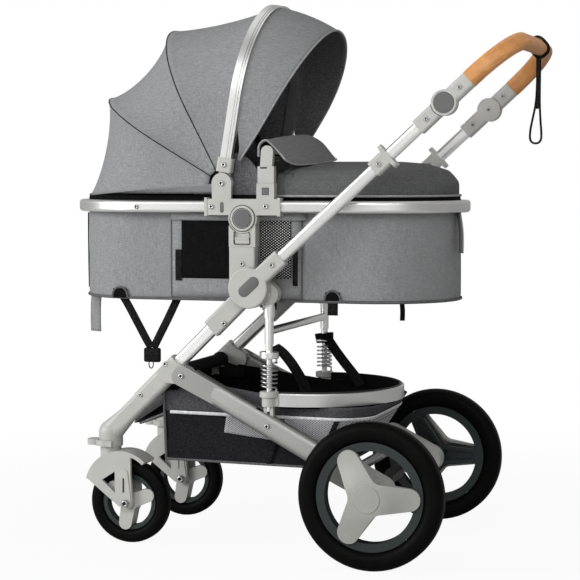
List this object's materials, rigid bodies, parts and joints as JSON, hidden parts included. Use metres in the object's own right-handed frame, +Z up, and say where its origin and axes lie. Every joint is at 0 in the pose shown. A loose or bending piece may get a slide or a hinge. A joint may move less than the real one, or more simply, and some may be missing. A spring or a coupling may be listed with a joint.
{
  "type": "baby stroller",
  "caption": "Baby stroller with a lie-flat carrycot under a folding hood, sprung rear legs, swivelling front casters, a mesh storage basket and a tilting leather push bar",
  "frame": {"origin": "on the floor under the middle of the bounding box", "axes": "+X to the rear where the push bar is, +Y to the right side of the stroller, +Z up"},
  "size_m": [0.9897, 0.648, 1.1179],
  "materials": {
    "frame_silver": "satin silver coat",
    "bright_metal": "polished and anodised",
    "steel": "bright zinc plate",
    "light_plastic": "fine grain, warm light grey",
    "grey_plastic": "smooth mid grey",
    "dark_plastic": "smooth black",
    "rim_plastic": "dark grey with a soft gloss",
    "tyre": "matte black foam",
    "leather": "tan, stitched",
    "grey_fabric": "melange weave",
    "dark_fabric": "black mesh and weave",
    "white_fabric": "soft cotton"
  },
  "bodies": {
    "chassis": {"chassis_tubes": "frame_silver", "caster_elbows": "light_plastic", "hub_bases": "light_plastic", "leg_brackets": "light_plastic"},
    "rear_frame": {"rear_legs": "frame_silver", "axle_brackets": "light_plastic", "rear_axle_tubes": "steel"},
    "brake": {"brake_bar": "steel", "brake_pedal": "dark_plastic"},
    "strut": {"strut_rods": "frame_silver", "springs": "steel"},
    "spring_base": {"spring_seats": "light_plastic", "basket_hoop": "bright_metal", "storage_basket": "dark_fabric"},
    "handle": {"handle_tubes": "frame_silver", "handle_sockets": "light_plastic"},
    "fold_latch": {"fold_latches": "light_plastic"},
    "handlebar": {"handlebar_tube": "frame_silver", "handle_grip": "leather", "hinge_knuckles": "light_plastic", "wrist_strap": "dark_fabric"},
    "seat_base": {"seat_adaptors": "light_plastic"},
    "seat_release": {"seat_releases": "light_plastic"},
    "seat": {"seat_brackets": "light_plastic", "seat_ring": "bright_metal", "bassinet_tub": "grey_fabric", "foot_cover": "grey_fabric", "mattress": "white_fabric"},
    "bumper": {"bumper_bar": "light_plastic", "bumper_pad": "grey_fabric"},
    "canopy_rear": {"canopy_bow_rear": "dark_plastic", "canopy_panel_rear": "grey_fabric"},
    "canopy_middle": {"canopy_bow_middle": "dark_plastic", "canopy_panel_middle": "grey_fabric"},
    "canopy_front": {"canopy_hoop": "bright_metal", "canopy_hinges": "light_plastic", "canopy_panel_front": "grey_fabric", "canopy_visor": "grey_fabric"},
    "rear_wheel_left": {"rear_tyre_left": "tyre", "rear_rim_left": "rim_plastic", "rear_wheel_cover_left": "light_plastic"},
    "caster_left": {"caster_fork_left": "light_plastic"},
    "swivel_lock_left": {"swivel_lock_left": "light_plastic"},
    "front_wheel_left": {"front_tyre_left": "tyre", "front_rim_left": "rim_plastic", "front_spokes_left": "light_plastic"},
    "hinge_button_left": {"hinge_button_left": "grey_plastic"},
    "tilt_button_left": {"tilt_button_left": "grey_plastic"},
    "bumper_button_left": {"bumper_button_left": "grey_plastic"},
    "rear_wheel_right": {"rear_tyre_right": "tyre", "rear_rim_right": "rim_plastic", "rear_wheel_cover_right": "light_plastic"},
    "caster_right": {"caster_fork_right": "light_plastic"},
    "swivel_lock_right": {"swivel_lock_right": "light_plastic"},
    "front_wheel_right": {"front_tyre_right": "tyre", "front_rim_right": "rim_plastic", "front_spokes_right": "light_plastic"},
    "hinge_button_right": {"hinge_button_right": "grey_plastic"},
    "tilt_button_right": {"tilt_button_right": "grey_plastic"},
    "bumper_button_right": {"bumper_button_right": "grey_plastic"}
  },
  "joints": [
    {"name": "rear_suspension", "type": "hinge", "parent": "chassis", "child": "rear_frame", "pos_m": [-0.1973, 0, 0.35496], "axis": [0, -1, 0], "range_deg": [0, 5], "stiffness_Nm_per_rad": 900, "springref_deg": -5.16, "deforming": ["springs"]},
    {"name": "strut_upper", "type": "hinge", "parent": "chassis", "child": "strut", "pos_m": [-0.009, 0, 0.526], "axis": [0, -1, 0], "range_deg": [-0.5, 2.5]},
    {"name": "strut_lower", "type": "hinge", "parent": "rear_frame", "child": "spring_base", "pos_m": [-0.009, 0, 0.26156], "axis": [0, -1, 0], "range_deg": [-4, 0.5]},
    {"name": "brake_pedal_turn", "type": "hinge", "parent": "rear_frame", "child": "brake", "pos_m": [0.198, 0, 0.137], "axis": [0, 1, 0], "range_deg": [0, 18]},
    {"name": "rear_wheel_left_spin", "type": "hinge", "parent": "rear_frame", "child": "rear_wheel_left", "pos_m": [0.226, -0.2825, 0.145], "axis": [0, 1, 0], "continuous": true},
    {"name": "caster_left_swivel", "type": "hinge", "parent": "chassis", "child": "caster_left", "pos_m": [-0.368, -0.161, 0.2], "axis": [0, 0, 1], "continuous": true},
    {"name": "front_wheel_left_spin", "type": "hinge", "parent": "caster_left", "child": "front_wheel_left", "pos_m": [-0.323, -0.161, 0.086], "axis": [0, 1, 0], "continuous": true},
    {"name": "swivel_lock_left_flip", "type": "hinge", "parent": "chassis", "child": "swivel_lock_left", "pos_m": [-0.368, -0.161, 0.208], "axis": [0, 1, 0], "range_deg": [0, 12]},
    {"name": "rear_wheel_right_spin", "type": "hinge", "parent": "rear_frame", "child": "rear_wheel_right", "pos_m": [0.226, 0.2825, 0.145], "axis": [0, 1, 0], "continuous": true},
    {"name": "caster_right_swivel", "type": "hinge", "parent": "chassis", "child": "caster_right", "pos_m": [-0.368, 0.161, 0.2], "axis": [0, 0, 1], "continuous": true},
    {"name": "front_wheel_right_spin", "type": "hinge", "parent": "caster_right", "child": "front_wheel_right", "pos_m": [-0.323, 0.161, 0.086], "axis": [0, 1, 0], "continuous": true},
    {"name": "swivel_lock_right_flip", "type": "hinge", "parent": "chassis", "child": "swivel_lock_right", "pos_m": [-0.368, 0.161, 0.208], "axis": [0, 1, 0], "range_deg": [0, 12]},
    {"name": "handle_fold", "type": "hinge", "parent": "chassis", "child": "handle", "pos_m": [-0.044, 0, 0.539], "axis": [0, -1, 0], "range_deg": [0, 165]},
    {"name": "fold_latch_pull", "type": "slide", "parent": "handle", "child": "fold_latch", "axis": [0.7373, 0, 0.6756], "range_m": [0, 0.02], "stiffness_N_per_m": 300, "springref_m": -0.01},
    {"name": "handlebar_tilt", "type": "hinge", "parent": "handle", "child": "handlebar", "pos_m": [0.35266, 0, 0.90247], "axis": [0, -1, 0], "range_deg": [-45, 60]},
    {"name": "seat_lift", "type": "slide", "parent": "chassis", "child": "seat_base", "axis": [0, 0, 1], "range_m": [0, 0.06]},
    {"name": "seat_release_pull", "type": "slide", "parent": "seat_base", "child": "seat_release", "axis": [0, 0, 1], "range_m": [0, 0.005], "stiffness_N_per_m": 300, "springref_m": -0.002},
    {"name": "seat_tilt", "type": "hinge", "parent": "seat_base", "child": "seat", "pos_m": [-0.064, 0, 0.677], "axis": [0, -1, 0], "range_deg": [-10, 15]},
    {"name": "hinge_button_left_press", "type": "slide", "parent": "handlebar", "child": "hinge_button_left", "axis": [0, 1, 0], "range_m": [0, 0.0025], "stiffness_N_per_m": 400},
    {"name": "tilt_button_left_press", "type": "slide", "parent": "seat", "child": "tilt_button_left", "axis": [0, 1, 0], "range_m": [0, 0.0025], "stiffness_N_per_m": 400},
    {"name": "bumper_button_left_press", "type": "slide", "parent": "seat", "child": "bumper_button_left", "axis": [0, 1, 0], "range_m": [0, 0.002], "stiffness_N_per_m": 400},
    {"name": "hinge_button_right_press", "type": "slide", "parent": "handlebar", "child": "hinge_button_right", "axis": [0, -1, 0], "range_m": [0, 0.0025], "stiffness_N_per_m": 400},
    {"name": "tilt_button_right_press", "type": "slide", "parent": "seat", "child": "tilt_button_right", "axis": [0, -1, 0], "range_m": [0, 0.0025], "stiffness_N_per_m": 400},
    {"name": "bumper_button_right_press", "type": "slide", "parent": "seat", "child": "bumper_button_right", "axis": [0, -1, 0], "range_m": [0, 0.002], "stiffness_N_per_m": 400},
    {"name": "bumper_lift", "type": "slide", "parent": "seat", "child": "bumper", "axis": [0, 0, 1], "range_m": [0, 0.05]},
    {"name": "canopy_fold", "type": "hinge", "parent": "seat", "child": "canopy_rear", "pos_m": [-0.1086, 0, 0.747], "axis": [0, -1, 0], "range_deg": [0, 22], "deforming": ["canopy_panel_rear"]},
    {"name": "canopy_middle_fold", "type": "hinge", "parent": "canopy_rear", "child": "canopy_middle", "pos_m": [-0.1086, 0, 0.747], "axis": [0, -1, 0], "range_deg": [0, 22.5], "deforming": ["canopy_panel_middle"]},
    {"name": "canopy_hoop_fold", "type": "hinge", "parent": "canopy_middle", "child": "canopy_front", "pos_m": [-0.1086, 0, 0.747], "axis": [0, -1, 0], "range_deg": [0, 22.5], "deforming": ["canopy_panel_front"]}
  ],
  "couplings": [
    {"joint": "strut_upper", "follows": "rear_suspension", "ratio": 0.345},
    {"joint": "strut_lower", "follows": "rear_suspension", "ratio": -0.655},
    {"joint": "canopy_middle_fold", "follows": "canopy_fold", "ratio": 1},
    {"joint": "canopy_hoop_fold", "follows": "canopy_fold", "ratio": 1}
  ]
}
